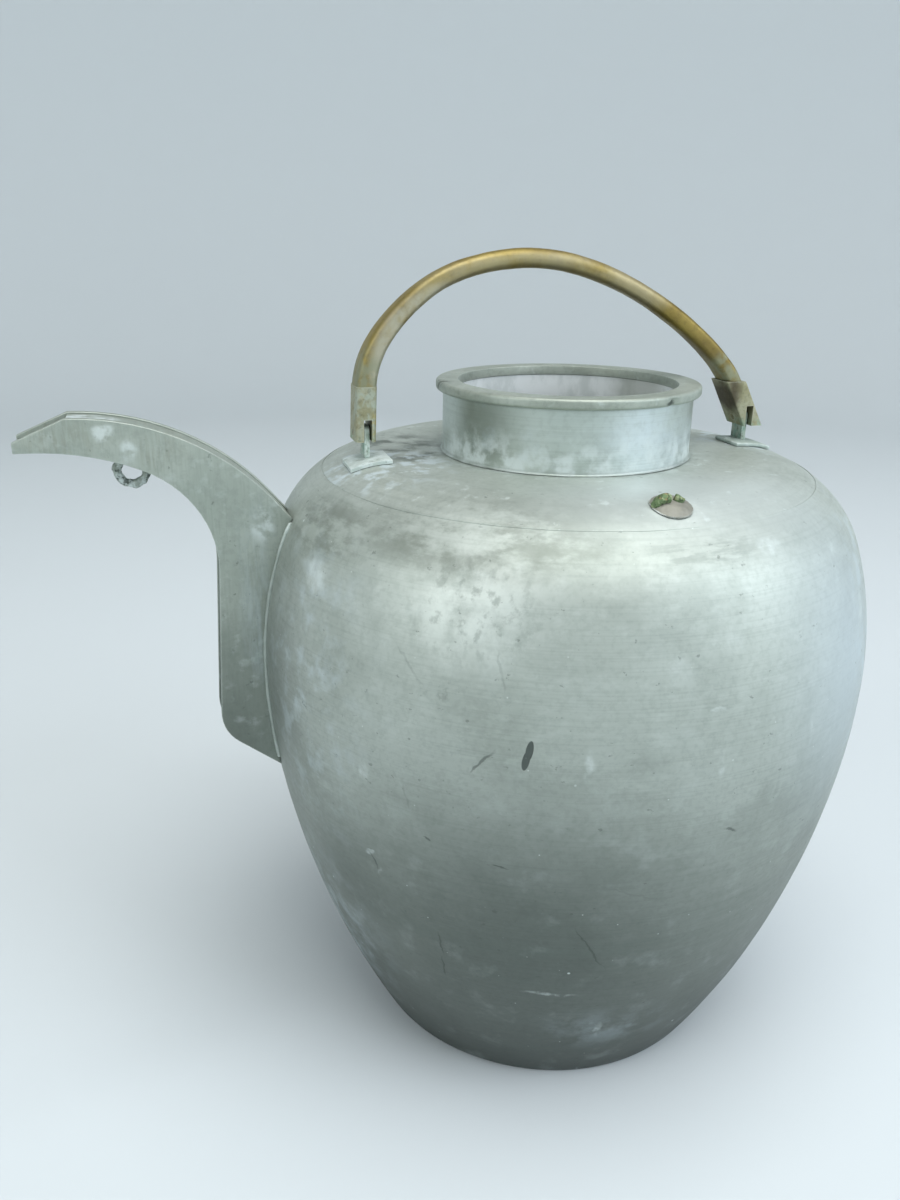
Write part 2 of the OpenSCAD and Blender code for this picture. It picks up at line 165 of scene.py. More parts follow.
class Finisher:
    """Turns a metal into a node material, with every pattern sized in millimetres."""

    WAVER_SCALE = 0.35
    WAVER_REACH = 2.4

    def __init__(self, metal: Metal) -> None:
        """Start the material of one metal, with its places in millimetres, plain and wavering.

        Args:
            metal: The metal.
        """
        self.metal = metal
        self.material = bpy.data.materials.new(metal.name)
        self.material.use_nodes = True
        self.tree = self.material.node_tree
        self.tree.nodes.clear()
        coords = add(self.tree, "TexCoord")
        self.place = add(self.tree, "Mapping", values={"Scale": (1 / MM,) * 3},
                         links={"Vector": coords.outputs["Object"]}).outputs["Vector"]
        waver = add(self.tree, "TexNoise", values={"Scale": self.WAVER_SCALE, "Detail": 4.0},
                    links={"Vector": self.place})
        shift = add(self.tree, "VectorMath", {"operation": "SUBTRACT"}, {1: (0.5,) * 3},
                    {0: waver.outputs["Color"]})
        self.ragged = add(self.tree, "VectorMath", {"operation": "MULTIPLY_ADD"},
                          {1: (self.WAVER_REACH,) * 3},
                          {0: shift.outputs["Vector"], 2: self.place}).outputs["Vector"]

    def ramp(self, source: Any, low: float, high: float, falling: bool = False) -> Any:
        """Turn a value into a mask with soft ends.

        Args:
            source: The socket that gives the value.
            low: Value where the mask starts to change.
            high: Value where it has changed.
            falling: Whether it runs from 1 to 0.

        Returns:
            A mask from 0 to 1.
        """
        first, last = (1.0, 0.0) if falling else (0.0, 1.0)
        limits = {"From Min": low, "From Max": high, "To Min": first, "To Max": last}
        smooth = {"interpolation_type": "SMOOTHSTEP"}
        return add(self.tree, "MapRange", smooth, limits, {"Value": source}).outputs[0]

    def spread(self, coat: Coat) -> Any:
        """Lay out a coat's own pattern.

        Args:
            coat: The coat.

        Returns:
            A mask from 0 to 1, or None where the spots alone decide.
        """
        if coat.pattern is Pattern.SPOT:
            return None
        if coat.pattern is Pattern.EDGE:
            bevel = add(self.tree, "Bevel", {"samples": 6}, {"Radius": coat.grain * MM})
            face = add(self.tree, "NewGeometry")
            turn = add(self.tree, "VectorMath", {"operation": "DISTANCE"},
                       links={0: bevel.outputs["Normal"], 1: face.outputs["Normal"]})
            return self.ramp(turn.outputs["Value"], coat.low, coat.high)
        # The ambient-occlusion mask darkens corners and recesses: dirt, and painted shade too
        if coat.pattern is Pattern.GRIME_AND_SHADE:
            shade = add(self.tree, "AmbientOcclusion", {"samples": 8}, {"Distance": coat.grain * MM})
            return self.ramp(shade.outputs["AO"], coat.low, coat.high, falling=True)
        grain = coat.grain if isinstance(coat.grain, tuple) else (coat.grain,) * 3
        start = (coat.seed, 2 * coat.seed, -coat.seed)
        frame = add(self.tree, "Mapping", values={"Scale": tuple(1 / g for g in grain), "Location": start},
                    links={"Vector": self.place})
        if coat.pattern is Pattern.PIT:
            cells = add(self.tree, "TexVoronoi", values={"Scale": 1.0, "Randomness": 1.0},
                        links={"Vector": frame.outputs["Vector"]})
            return self.ramp(cells.outputs["Distance"], coat.low, coat.high, falling=True)
        cloud = add(self.tree, "TexNoise", values={"Scale": 1.0, "Detail": coat.detail, "Roughness": 0.6},
                    links={"Vector": frame.outputs["Vector"]})
        return self.ramp(cloud.outputs["Fac"], coat.low, coat.high)

    def reach(self, spots: Sequence[Spot]) -> Any:
        """Join spots into one mask.

        Args:
            spots: The spots.

        Returns:
            A mask that is 1 in the middle of any spot and 0 outside them all, or None where there are none.
        """
        joined = None
        for spot in spots:
            turn = tuple(map(math.radians, spot.turn))
            local = add(self.tree, "Mapping", {"vector_type": "TEXTURE"},
                        {"Location": spot.at, "Rotation": turn, "Scale": spot.radii},
                        {"Vector": self.ragged if spot.ragged else self.place})
            ball = add(self.tree, "TexGradient", {"gradient_type": "SPHERICAL"},
                       links={"Vector": local.outputs["Vector"]})
            mask = self.ramp(ball.outputs["Fac"], 0.0, spot.soft)
            joined = mask if joined is None else add(
                self.tree, "Math", {"operation": "MAXIMUM"}, links={0: joined, 1: mask}).outputs[0]
        return joined

    def mask(self, coat: Coat) -> Any:
        """Where a coat lies and how thickly.

        Args:
            coat: The coat.

        Returns:
            A mask from 0 to the coat's strength.
        """
        times = {"operation": "MULTIPLY"}
        first, *rest = [m for m in (self.spread(coat), self.reach(coat.spots)) if m is not None]
        product = add(self.tree, "Math", times, {0: coat.strength}, {1: first}).outputs[0]
        for mask in rest:
            product = add(self.tree, "Math", times, links={0: product, 1: mask}).outputs[0]
        return product

    def make(self) -> bpy.types.Material:
        """Build the material.

        Returns:
            The finished material.
        """
        tree, metal = self.tree, self.metal
        shader = add(tree, "BsdfPrincipled", values={
            "Base Color": linear(metal.colour), "Roughness": metal.rough, "Metallic": metal.metal})
        running: dict[str, Any] = {}
        height = None
        for coat in metal.coats:
            mask = self.mask(coat)
            targets = (("Base Color", "RGBA", linear(coat.colour)), ("Roughness", "FLOAT", coat.rough),
                       ("Metallic", "FLOAT", coat.metal))
            for socket, kind, value in targets:
                if value is None:
                    continue
                a, b = (6, 7) if kind == "RGBA" else (2, 3)
                bare = shader.inputs[socket].default_value
                layer = add(tree, "Mix", {"data_type": kind}, {a: bare, b: value}, {0: mask})
                if socket in running:
                    tree.links.new(running[socket], layer.inputs[a])
                running[socket] = layer.outputs[2 if kind == "RGBA" else 0]
            if coat.relief:
                rise = add(tree, "Math", {"operation": "MULTIPLY_ADD"}, {1: coat.relief, 2: 0.0}, {0: mask})
                if height is not None:
                    tree.links.new(height, rise.inputs[2])
                height = rise.outputs[0]
        for socket, source in running.items():
            tree.links.new(source, shader.inputs[socket])
        if height is not None:
            bump = add(tree, "Bump", values={"Strength": 1.0, "Distance": MM}, links={"Height": height})
            tree.links.new(bump.outputs["Normal"], shader.inputs["Normal"])
        add(tree, "OutputMaterial", links={"Surface": shader.outputs["BSDF"]})
        return self.material


class Element(Enum):
    """What a selection is made of."""

    POINT = "vertices"
    EDGE = "edges"


class Bench:
    """Modelling steps that the pieces share."""

    WELD = 0.01 * MM
    CAD_WELD = 0.002 * MM
    FLAT = math.radians(0.5)
    SHARP = math.radians(35)
    FACE_SHARE = 0.98
    FADE = {"use_proportional_edit": True, "proportional_edit_falloff": "SMOOTH"}

    @staticmethod
    def clear() -> None:
        """Leave edit mode and deselect everything."""
        if bpy.context.object is not None and bpy.context.object.mode != "OBJECT":
            bpy.ops.object.mode_set(mode="OBJECT")
        bpy.ops.object.select_all(action="DESELECT")

    @staticmethod
    def hold(piece: bpy.types.Object) -> None:
        """Make one piece the only selected and the active object.

        Args:
            piece: The piece.
        """
        Bench.clear()
        piece.select_set(True)
        bpy.context.view_layer.objects.active = piece

    @staticmethod
    @contextmanager
    def editing(action: str | None = None) -> Iterator[None]:
        """Work on the active piece in edit mode.

        Args:
            action: SELECT or DESELECT for its whole mesh first, or nothing.

        Yields:
            Nothing.
        """
        bpy.ops.object.mode_set(mode="EDIT")
        if action:
            bpy.ops.mesh.select_all(action=action)
        yield
        bpy.ops.object.mode_set(mode="OBJECT")

    @staticmethod
    def choose(piece: bpy.types.Object, kind: Element, wanted: Callable[[Any], bool]) -> None:
        """Select only those points or edges of a piece that pass a test.

        Args:
            piece: The piece.
            kind: Whether points or edges are selected.
            wanted: The test.
        """
        Bench.hold(piece)
        with Bench.editing("DESELECT"):
            if kind is Element.EDGE:
                bpy.ops.mesh.select_mode(type="EDGE")
        for part in getattr(piece.data, kind.value):
            part.select = wanted(part)

    @staticmethod
    def lathe(name: str, rings: Sequence[Ring], segments: int) -> bpy.types.Object:
        """Turn a closed section round the upright axis by extruding and widening a ring.

        Args:
            name: The piece's name.
            rings: Radius and height of each corner of the section, in millimetres, in order round it.
            segments: How many sides the rings have.

        Returns:
            The turned piece.
        """
        Bench.clear()
        radius, height = rings[0]
        bpy.ops.mesh.primitive_circle_add(vertices=segments, radius=radius * MM, location=(0, 0, 0))
        piece = bpy.context.object
        piece.name = name
        with Bench.editing("SELECT"):
            bpy.ops.transform.translate(value=(0, 0, height * MM))
            for wide, high in (*rings[1:], rings[0]):
                rise, wider = (high - height) * MM, wide / radius
                bpy.ops.mesh.extrude_region_move(TRANSFORM_OT_translate={"value": (0, 0, rise)})
                bpy.ops.transform.resize(value=(wider, wider, 1), center_override=(0, 0, high * MM))
                radius, height = wide, high
            bpy.ops.mesh.select_all(action="SELECT")
            bpy.ops.mesh.remove_doubles(threshold=Bench.WELD)
            bpy.ops.mesh.normals_make_consistent(inside=False)
        return piece

    @staticmethod
    def copy(name: str, node: bpy.types.Object) -> bpy.types.Object:
        """Copy a CAD node with its triangles merged and its flat faces whole again.

        Args:
            name: The new piece's name.
            node: The CAD node.

        Returns:
            The copy, which has its own mesh.
        """
        Bench.hold(node)
        bpy.ops.object.duplicate()
        piece = bpy.context.object
        piece.name = name
        piece.parent = None
        for key in [k for k in piece.keys() if k.startswith("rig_")]:
            del piece[key]
        piece.data.materials.clear()
        with Bench.editing("SELECT"):
            bpy.ops.mesh.customdata_custom_splitnormals_clear()
            bpy.ops.mesh.remove_doubles(threshold=Bench.CAD_WELD)
            bpy.ops.mesh.dissolve_limited(angle_limit=Bench.FLAT)
        return piece

    @staticmethod
    def modify(piece: bpy.types.Object, kind: str, **settings: Any) -> None:
        """Add a modifier and apply it.

        Args:
            piece: The piece.
            kind: The modifier's type.
            **settings: The modifier's properties.
        """
        Bench.hold(piece)
        modifier = piece.modifiers.new(kind.lower(), kind)
        for key, value in settings.items():
            setattr(modifier, key, value)
        bpy.ops.object.modifier_apply(modifier=modifier.name)

    @staticmethod
    def soften(piece: bpy.types.Object, width: float) -> None:
        """Round a piece's sharp edges by a width in millimetres, as filing and use do."""
        Bench.modify(piece, "BEVEL", width=width * MM, segments=3, limit_method="ANGLE",
                     angle_limit=Bench.SHARP, use_clamp_overlap=True)

    @staticmethod
    def round_corners(piece: bpy.types.Object, width: float, least: float) -> None:
        """Round the long outer edges of a block and leave its holes and slot as they are.

        Args:
            piece: The block.
            width: Width of the rounding, in millimetres.
            least: Length from which an edge is long, in millimetres.
        """
        points = piece.data.vertices
        face = Bench.FACE_SHARE * max(abs(v.co.y) for v in points)

        def long_outer(edge: bpy.types.MeshEdge) -> bool:
            """Whether an edge is long and on the front or back face."""
            start, stop = (points[i].co for i in edge.vertices)
            return min(abs(start.y), abs(stop.y)) > face and (start - stop).length > least * MM

        Bench.choose(piece, Element.EDGE, long_outer)
        with Bench.editing():
            bpy.ops.transform.edge_bevelweight(value=1.0)
        Bench.modify(piece, "BEVEL", width=width * MM, segments=4, limit_method="WEIGHT",
                     use_clamp_overlap=True)
        # The rounding can end on the slot's corners, so points in one place are welded
        with Bench.editing("SELECT"):
            bpy.ops.mesh.remove_doubles(threshold=Bench.WELD)

    @staticmethod
    def roughen(piece: bpy.types.Object, grain: float, depth: float, top: float = 0.5) -> None:
        """Make a piece's surface uneven.

        Args:
            piece: The piece.
            grain: Size of the lumps, in millimetres.
            depth: Height from hollow to lump, in millimetres.
            top: Share of the depth that lies inside the old surface, 1 for all of it.
        """
        lumps = bpy.data.textures.new(piece.name + "_lumps", "CLOUDS")
        lumps.noise_scale = grain * MM
        lumps.noise_depth = 2
        Bench.modify(piece, "DISPLACE", texture=lumps, texture_coords="LOCAL", strength=depth * MM,
                     mid_level=top)

    @staticmethod
    def press(piece: bpy.types.Object, at: Point, push: Point, reach: float) -> None:
        """Push the surface in round one place.

        Args:
            piece: The piece.
            at: The place, in millimetres.
            push: How far and which way, in millimetres.
            reach: Radius of the dent, in millimetres.
        """
        middle = Vector(at) * MM
        nearest = min(piece.data.vertices, key=lambda v: (v.co - middle).length_squared).index
        Bench.choose(piece, Element.POINT, lambda v: v.index == nearest)
        with Bench.editing():
            bpy.ops.transform.translate(value=tuple(p * MM for p in push), proportional_size=reach * MM,
                                        **Bench.FADE)

    @staticmethod
    def swell(piece: bpy.types.Object, at: Point, factor: Point, core: float, reach: float) -> None:
        """Widen a piece round one place, fading away from it.

        Args:
            piece: The piece.
            at: The place, in millimetres.
            factor: How much wider it becomes along each axis.
            core: How far the full change reaches, in millimetres.
            reach: How much farther it fades out, in millimetres.
        """
        middle = Vector(at) * MM
        Bench.choose(piece, Element.POINT, lambda v: (v.co - middle).length < core * MM)
        with Bench.editing():
            bpy.ops.mesh.select_mode(type="VERT")
            bpy.ops.transform.resize(value=factor, center_override=tuple(middle),
                                     proportional_size=reach * MM, **Bench.FADE)

    @staticmethod
    def polish(piece: bpy.types.Object, angle: float) -> None:
        """Shade a piece smooth where its faces meet at a small angle, in degrees."""
        Bench.hold(piece)
        bpy.ops.object.shade_smooth_by_angle(angle=math.radians(angle))


OXIDE = "#d2dcda"
OXIDE_BLUE = "#c2d0d6"
# Pale bare pewter: real wear on arrises, and also a painted highlight on the body's front-left patch
BARE_METAL_AND_SHEEN = "#d6ddd6"
TARNISH = "#7f887f"
SOOT = "#4a524c"
EVERYWHERE = 900.0
STREAK_DEPTH = 3.0


def stain(colour: str, strength: float, rough: float, *spots: Spot, relief: float = 0.0,
          metal: float | None = None) -> Coat:
    """A coat that lies in its spots alone."""
    return Coat(colour, 0.0, 0.0, 1.0, strength, Pattern.SPOT, rough, metal, relief, spots=spots)


def streak(start: Point, stop: Point, width: float, soft: float = 0.5, ragged: bool = True) -> Spot:
    """A long thin spot between two places, for scratches, runs and cracks.

    Args:
        start: One end, in millimetres.
        stop: The other end.
        width: Half its width, in millimetres.
        soft: How far its edge fades.
        ragged: Whether its edge wavers.

    Returns:
        The spot.
    """
    run = Vector(stop) - Vector(start)
    middle = (Vector(start) + Vector(stop)) / 2
    along = run.normalized()
    across = Vector((middle.x, middle.y, 0)).cross(along).normalized()
    turn = map(math.degrees, Matrix((across, along.cross(across), along)).transposed().to_euler())
    return Spot(tuple(middle), (width, STREAK_DEPTH, run.length / 2), tuple(turn), soft, ragged)


def level(height: float, reach: float, soft: float = 1.0) -> Spot:
    """A level belt round the whole ewer, given by its middle and half its height in millimetres."""
    return Spot((0.0, 0.0, height), (EVERYWHERE, EVERYWHERE, reach), soft=soft)


def bloom(size: float, low: float, high: float, strength: float, seed: float, *spots: Spot,
          colour: str = OXIDE) -> Coat:
    """A pale, dull bloom of tin oxide in patches, all over or in its spots alone."""
    return Coat(colour, size, low, high, strength, rough=0.65, metal=0.25, relief=0.02, seed=seed,
                spots=spots)


SCRATCHES = (
    streak((-45.6, -65.7, 106.2), (-40.2, -69.0, 112.8), 0.42),
    streak((-22.6, -71.8, 68.6), (-11.7, -70.0, 51.0), 0.28),
    streak((-48.4, -54.7, 59.0), (-46.2, -53.0, 49.5), 0.35),
    streak((-46.6, -53.0, 50.0), (-44.7, -51.0, 41.1), 0.4),
    streak((-62.8, -44.4, 76.2), (-60.2, -46.6, 71.6), 0.55),
    streak((-52.2, -57.0, 88.0), (-50.6, -58.6, 86.6), 0.4),
    streak((8.0, -78.6, 92.0), (12.6, -77.6, 90.4), 0.35),
    streak((-40.5, -67.2, 84.0), (-36.5, -69.0, 83.2), 0.4),
)
HAIRLINES = (
    streak((-57.4, -51.4, 132.0), (-52.4, -58.9, 122.4), 0.4),
    streak((-40.2, -65.2, 134.5), (-38.2, -68.4, 124.0), 0.4),
    streak((-56.0, -55.0, 101.0), (-55.0, -56.4, 93.0), 0.4),
    streak((-19.0, -77.0, 80.0), (-2.0, -76.4, 74.0), 0.35),
)
RUNS = (
    Spot((20.1, -65.0, 150.5), (4.2, 3.5, 2.6)), Spot((-69.6, -27.6, 138.8), (4.0, 6.0, 5.0)),
    Spot((-64.3, -47.1, 99.5), (2.4, 3.0, 4.0)),
    streak((-23.1, -76.5, 116.0), (-23.1, -76.0, 106.0), 1.4, 0.8),
    streak((-8.5, -62.5, 30.0), (-8.5, -60.0, 20.0), 1.3, 0.8),
    streak((-31.0, -61.5, 42.6), (-15.0, -66.0, 42.0), 0.9, 0.8),
    streak((-10.2, -61.0, 40.0), (-9.6, -54.0, 14.0), 0.8, 0.8),
    streak((-59.8, -45.6, 77.6), (-63.6, -43.6, 75.0), 1.0),
    streak((-59.4, -46.8, 73.0), (-60.4, -46.2, 70.4), 0.9),
    streak((5.0, -79.0, 113.0), (5.4, -78.5, 104.0), 1.1, 0.8),
    streak((30.0, -73.0, 118.0), (30.5, -73.0, 104.0), 1.4, 0.8),
    streak((1.0, -79.0, 121.4), (6.0, -79.0, 121.0), 0.6), Spot((40.0, -57.0, 146.0), (3.0, 3.0, 2.4)),
    Spot((52.0, -57.0, 131.0), (2.4, 3.0, 5.0)),
)

# What turned or raised pewter shows all over: grey clouds, a fine grain, level tool lines and dull tarnish
PEWTER_SKIN = (
    Coat("#b9c1ba", 55, 0.42, 0.62, 0.6, seed=3.1),
    Coat(TARNISH, (22, 22, 26), 0.45, 0.72, 0.4, rough=0.56, seed=8.4),
    Coat("#838c83", 1.3, 0.44, 0.66, 0.18, rough=0.58, relief=0.006, detail=3, seed=2.6),
    Coat("#c9d1ca", (5, 5, 2.4), 0.5, 0.7, 0.2, seed=5.7),
    Coat("#727c74", (36, 36, 0.45), 0.46, 0.7, 0.12, relief=0.003, detail=2, seed=1.7),
    # A dark band along the front-left edge of the shoulder: tarnish, partly a painted dark reflection
    Coat("#737b70", (13, 13, 5), 0.38, 0.58, 0.68, rough=0.58,
         spots=(Spot((-40, -50, 152), (44, 30, 9)), Spot((-66, -22, 148), (20, 24, 8)))),
    Coat("#8b948c", (9, 5, 1.5), 0.44, 0.56, 0.55, seed=2.2, spots=(Spot((4, -66, 151), (19, 10, 4)),)),
    stain("#d3dcdb", 0.5, 0.55, Spot((10, -49, 157), (54, 26, 14), soft=0.9)),
)

# Pewter turned on a lathe: a dull satin skin, with painted shade darkening it downwards, low on its
# front-left and beside the spout, painted highlights on its front, and a white bloom where water stood
TURNED_PEWTER = Metal("turned_pewter", "#abb3ab", 0.52, 0.6, (
    *PEWTER_SKIN,
    # Painted shade: the body darkens towards its foot, as under light from above
    stain("#2f3733", 0.9, 0.54, level(-10, 156)),
    # Painted shade and painted dark reflection: low on the front-left, beside the spout on both sides and at
    # the left edge
    stain("#3a433e", 0.6, 0.54, Spot((-30, -66, 64), (62, 48, 60), soft=1.0)),
    stain("#4f5852", 0.5, 0.54, Spot((-78, -14, 108), (16, 24, 56), soft=1.0),
          Spot((-78, 14, 108), (16, 24, 56), soft=1.0), Spot((-62, -34, 66), (20, 26, 28), soft=1.0)),
    Coat("#5f6963", (70, 70, 4), 0.46, 0.72, 0.22, detail=3, seed=4.7, spots=(level(45, 70),)),
    # Bright polished patch on the front-left of the body: bare metal, partly a painted highlight
    Coat(BARE_METAL_AND_SHEEN, 7, 0.34, 0.62, 0.68, rough=0.48, seed=7.3,
         spots=(Spot((-43.6, -59.4, 140), (24, 20, 18), soft=0.9),)),
    Coat("#727b73", (2.6, 2.6, 3.0), 0.5, 0.66, 0.5, rough=0.6, relief=-0.02, seed=1.2,
         spots=(Spot((-43, -60, 140), (22, 20, 17), soft=0.9), Spot((-51, -60.7, 124), (5, 5, 4)))),
    # Painted highlight: a broad pale bluish sheen on the right front of the body
    stain("#ccd9e2", 0.45, 0.5, Spot((46, -64, 122), (40, 30, 54), soft=1.0)),
    stain("#9db4c6", 0.6, 0.5, Spot((58, -12, 48), (24, 34, 46), soft=1.0)),
    bloom(6, 0.46, 0.7, 0.42, 6.2, Spot((-72, -30, 118), (18, 34, 60), soft=0.9), colour=OXIDE_BLUE),
    bloom(9, 0.4, 0.7, 0.5, 1.8, Spot((-62, -14, 42), (22, 32, 44), soft=0.9), colour=OXIDE_BLUE),
    bloom(8, 0.42, 0.66, 0.22, 4.9, Spot((-6, -60, 26), (24, 14, 14), soft=0.9), colour=OXIDE_BLUE),
    bloom(5, 0.48, 0.66, 0.55, 2.9, Spot((62, -46, 120), (30, 34, 60), soft=0.9), colour=OXIDE_BLUE),
    bloom(8, 0.52, 0.78, 0.13, 9.7),
    Coat(OXIDE, (3, 3, 4), 0.34, 0.66, 0.5, rough=0.65, metal=0.2, seed=5.5, spots=RUNS),
    Coat(OXIDE, 12, 0.015, 0.04, 0.7, Pattern.PIT, rough=0.7, metal=0.1, relief=0.03, seed=3.3),
    Coat("#dde5e2", 5, 0.015, 0.05, 0.5, Pattern.PIT, rough=0.7, metal=0.1, seed=1.9),
    Coat(SOOT, (2.2, 2.2, 1.6), 0.66, 0.72, 0.4, rough=0.6, relief=-0.03, seed=6.1),
    stain(SOOT, 0.15, 0.6, *HAIRLINES, relief=-0.02),
    stain(SOOT, 0.6, 0.6, *SCRATCHES, relief=-0.1),
    stain("#39423f", 0.85, 0.5, streak((-34.0, -72.0, 115.6), (-34.7, -71.8, 110.8), 0.8, 0.15, False),
          streak((-34.6, -71.9, 113.4), (-35.4, -71.7, 108.6), 0.8, 0.15, False), relief=-0.2),
))

# Raised pewter plate: the wall's own skin, with grey-white bloom round the neck and lugs
SHOULDER_PEWTER = Metal("shoulder_pewter", "#abb3ab", 0.52, 0.6, (
    *PEWTER_SKIN,
    Coat("#59625a", (8, 8, 5), 0.38, 0.6, 0.8, rough=0.58, seed=4.4,
         spots=(Spot((-41, 12, 158.7), (14, 26, 8)),)),
    bloom(4.5, 0.48, 0.62, 0.6, 6.6, Spot((-50, -6, 158), (24, 26, 14)), Spot((54, 4, 158), (18, 24, 12)),
          colour=OXIDE_BLUE),
    bloom(4, 0.46, 0.62, 0.55, 1.6, Spot((0, 0, 158.5), (39, 39, 12), soft=0.3)),
    bloom(3, 0.6, 0.74, 0.45, 3.4),
    Coat("#d6ded9", 4, 0.3, 0.66, 0.45, rough=0.6, seed=7.2,
         spots=(Spot((1.6, -56.4, 157), (7.6, 7.2, 5), soft=0.4),)),
    Coat(SOOT, (2.4, 2.4, 1.6), 0.66, 0.72, 0.4, rough=0.6, relief=-0.03, seed=8.8),
    # Dirt and painted shade in the corners round the neck, lugs and eye
    Coat("#79847d", 2.5, 0.5, 0.92, 0.4, Pattern.GRIME_AND_SHADE, rough=0.6),
))

NECK_INSIDE = Spot((0, 0, 168), (31.2, 31.2, 200), soft=0.03, ragged=False)

# Turned pewter tube: darker olive on its left as painted shade, a painted bluish highlight on its front
# right, its inside painted bright as painted light, and oxide along its solder
NECK_PEWTER = Metal("neck_pewter", "#bdc7bf", 0.36, 0.8, (
    # Painted highlight: a pale bluish sheen on the front right of the tube
    Coat("#c9d4d6", (30, 30, 20), 0.36, 0.6, 0.7, seed=1.4, spots=(Spot((16, -28, 166), (28, 18, 18)),)),
    # Painted shade: darker olive on the left of the tube
    stain("#6a7265", 0.7, 0.44, Spot((-27, -16, 169), (14, 17, 20), soft=0.9)),
    Coat("#7c867e", (60, 60, 0.4), 0.46, 0.72, 0.14, detail=1, seed=0.7),
    Coat("#838c83", 1.5, 0.46, 0.66, 0.15, rough=0.5, seed=2.6),
    bloom(5, 0.4, 0.62, 0.75, 4.1, level(159.0, 12, 0.9)),
    bloom(8, 0.5, 0.74, 0.18, 7.7, colour=OXIDE_BLUE),
    stain("#939d96", 0.5, 0.6, Spot((0, 0, 158.8), (EVERYWHERE, EVERYWHERE, 1.0), soft=0.8, ragged=False)),
    # Dirt and painted shade in the corner under the rim
    Coat("#4f5851", 2.5, 0.3, 0.75, 0.75, Pattern.GRIME_AND_SHADE, rough=0.6, spots=(level(173.4, 4, 0.5),)),
    # Painted light: the inside of the neck is painted near-white and dull so that it looks lit
    stain("#f1f6f5", 0.97, 0.5, NECK_INSIDE, metal=0.04),
    Coat("#b4bfba", (7, 7, 14), 0.44, 0.64, 0.4, rough=0.4, seed=6.4, spots=(NECK_INSIDE,)),
    Coat("#a8b1aa", 8, 0.36, 0.62, 0.25, rough=0.45, seed=3.9,
         spots=(Spot((-24, 14, 160), (12, 12, 20), soft=0.8),)),
    stain("#8f9482", 0.5, 0.4, Spot((29, 12, 168), (12, 15, 30), soft=0.6)),
))

# Rubbed pewter ring: olive-grey flat, worn pale along its arris
RIM_PEWTER = Metal("rim_pewter", "#99a196", 0.5, 0.62, (
    Coat("#b9c1b7", (14, 14, 6), 0.4, 0.66, 0.55, seed=2.0),
    Coat("#7d8577", (6, 6, 2), 0.48, 0.72, 0.28, rough=0.58, seed=6.0),
    Coat("#838c83", 1.3, 0.46, 0.66, 0.3, rough=0.58, seed=2.6),
    Coat(BARE_METAL_AND_SHEEN, 0.5, 0.12, 0.5, 0.4, Pattern.EDGE, rough=0.44),
    bloom(3, 0.58, 0.76, 0.3, 1.9),
    Coat("#5b6258", 2.5, 0.4, 0.56, 0.75, rough=0.6, spots=(Spot((-32.6, 2.5, 175.9), (3, 4, 2)),)),
    stain("#39413b", 0.9, 0.6, Spot((13.2, -30.3, 174.6), (2.2, 2.2, 0.9))),
))

# Sawn and brushed pewter plate: fine upright brush marks, bright filed edges and a bluish bloom by the solder
SPOUT_PEWTER = Metal("spout_pewter", "#9ca59b", 0.5, 0.6, (
    Coat("#aeb6ac", 20, 0.42, 0.62, 0.6, seed=2.0),
    Coat("#737c72", (0.6, 30, 9), 0.44, 0.7, 0.14, rough=0.54, relief=0.003, detail=3, seed=4.0),
    Coat("#7d7f6c", (0.9, 30, 7), 0.4, 0.66, 0.5, rough=0.5, detail=3, seed=6.4,
         spots=(Spot((-122, 0, 167), (16, 12, 9), soft=0.9), Spot((-101, 0, 163), (10, 12, 8), soft=0.9))),
    Coat("#838c83", 1.5, 0.44, 0.66, 0.25, rough=0.58, relief=0.008, seed=2.6),
    stain("#4c554f", 0.8, 0.54, Spot((-90, 0, 82), (24, 40, 68), soft=1.0)),
    Coat(OXIDE_BLUE, (4, 30, 22), 0.42, 0.66, 0.42, rough=0.6, metal=0.35, seed=1.1,
         spots=(Spot((-80, 0, 122), (8, 20, 46), soft=0.9),)),
    Coat(OXIDE, 3, 0.38, 0.6, 0.55, rough=0.62, metal=0.3, seed=3.0,
         spots=(Spot((-112.8, -5.6, 168.2), (3.2, 2, 2.6)), Spot((-107.4, -5.6, 164.2), (2.2, 2, 3.0)),
                Spot((-79, -5.5, 145), (4, 3, 6)))),
    Coat("#dbe4e6", 4, 0.3, 0.62, 0.7, rough=0.6, metal=0.3, seed=3.7,
         spots=(Spot((-114, 0, 172.6), (12, 4.2, 3.4), soft=0.4),)),
    bloom(4, 0.54, 0.74, 0.22, 5.0),
    Coat(SOOT, 2.0, 0.64, 0.71, 0.45, rough=0.6, relief=-0.04, seed=2.4),
    Coat(BARE_METAL_AND_SHEEN, 0.4, 0.14, 0.55, 0.65, Pattern.EDGE, rough=0.4),
    # Painted shade, with some dirt, in the recesses between the plates
    Coat("#4d554c", 2.2, 0.3, 0.8, 0.7, Pattern.GRIME_AND_SHADE, rough=0.62),
))

# Cast pewter eaten by corrosion: pale lumps with dark hollows
LOOP_PEWTER = Metal("loop_pewter", "#99a299", 0.55, 0.6, (
    Coat(OXIDE, 2.0, 0.46, 0.6, 0.7, rough=0.65, metal=0.3, seed=1.0),
    Coat("#4d564f", 1.2, 0.52, 0.62, 0.85, rough=0.7, relief=-0.08, seed=2.0),
))

